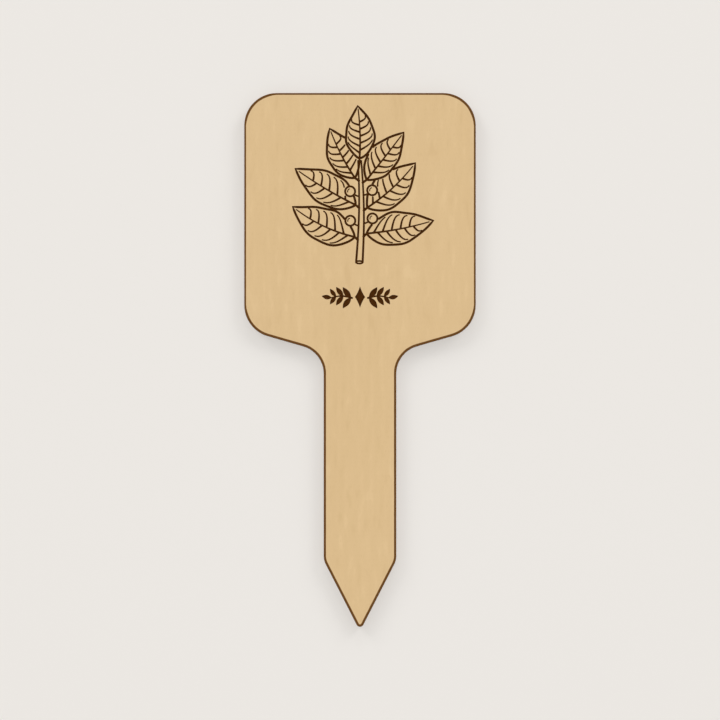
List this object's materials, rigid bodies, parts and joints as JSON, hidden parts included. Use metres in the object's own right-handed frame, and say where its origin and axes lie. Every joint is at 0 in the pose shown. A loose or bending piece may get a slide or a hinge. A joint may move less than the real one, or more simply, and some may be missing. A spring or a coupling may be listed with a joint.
{
  "type": "plant label stake",
  "caption": "Flat wooden plant label with a rounded square head, sloping shoulders and a pointed stem that pushes into soil, cut from laminated veneer sheet.",
  "frame": {"origin": "middle of the outline's bounding box, on the back face that it lies on", "axes": "+X to the right across the face, +Y along the stem from the tip to the top of the head, +Z out of the engraved front face"},
  "size_m": [0.0606, 0.14, 0.003],
  "materials": {
    "face_veneer": "sanded birch veneer, grain along the stem, charred brown at the cut edge and in the engraving",
    "core_veneer": "cross-grained birch veneer, seen only at the charred cut edge",
    "glue": "cured resin glue line, seen only as a dark thread at the cut edge"
  },
  "bodies": {
    "root": {"front_veneer": "face_veneer", "front_glue_line": "glue", "core_veneer": "core_veneer", "back_glue_line": "glue", "back_veneer": "face_veneer"}
  },
  "joints": []
}
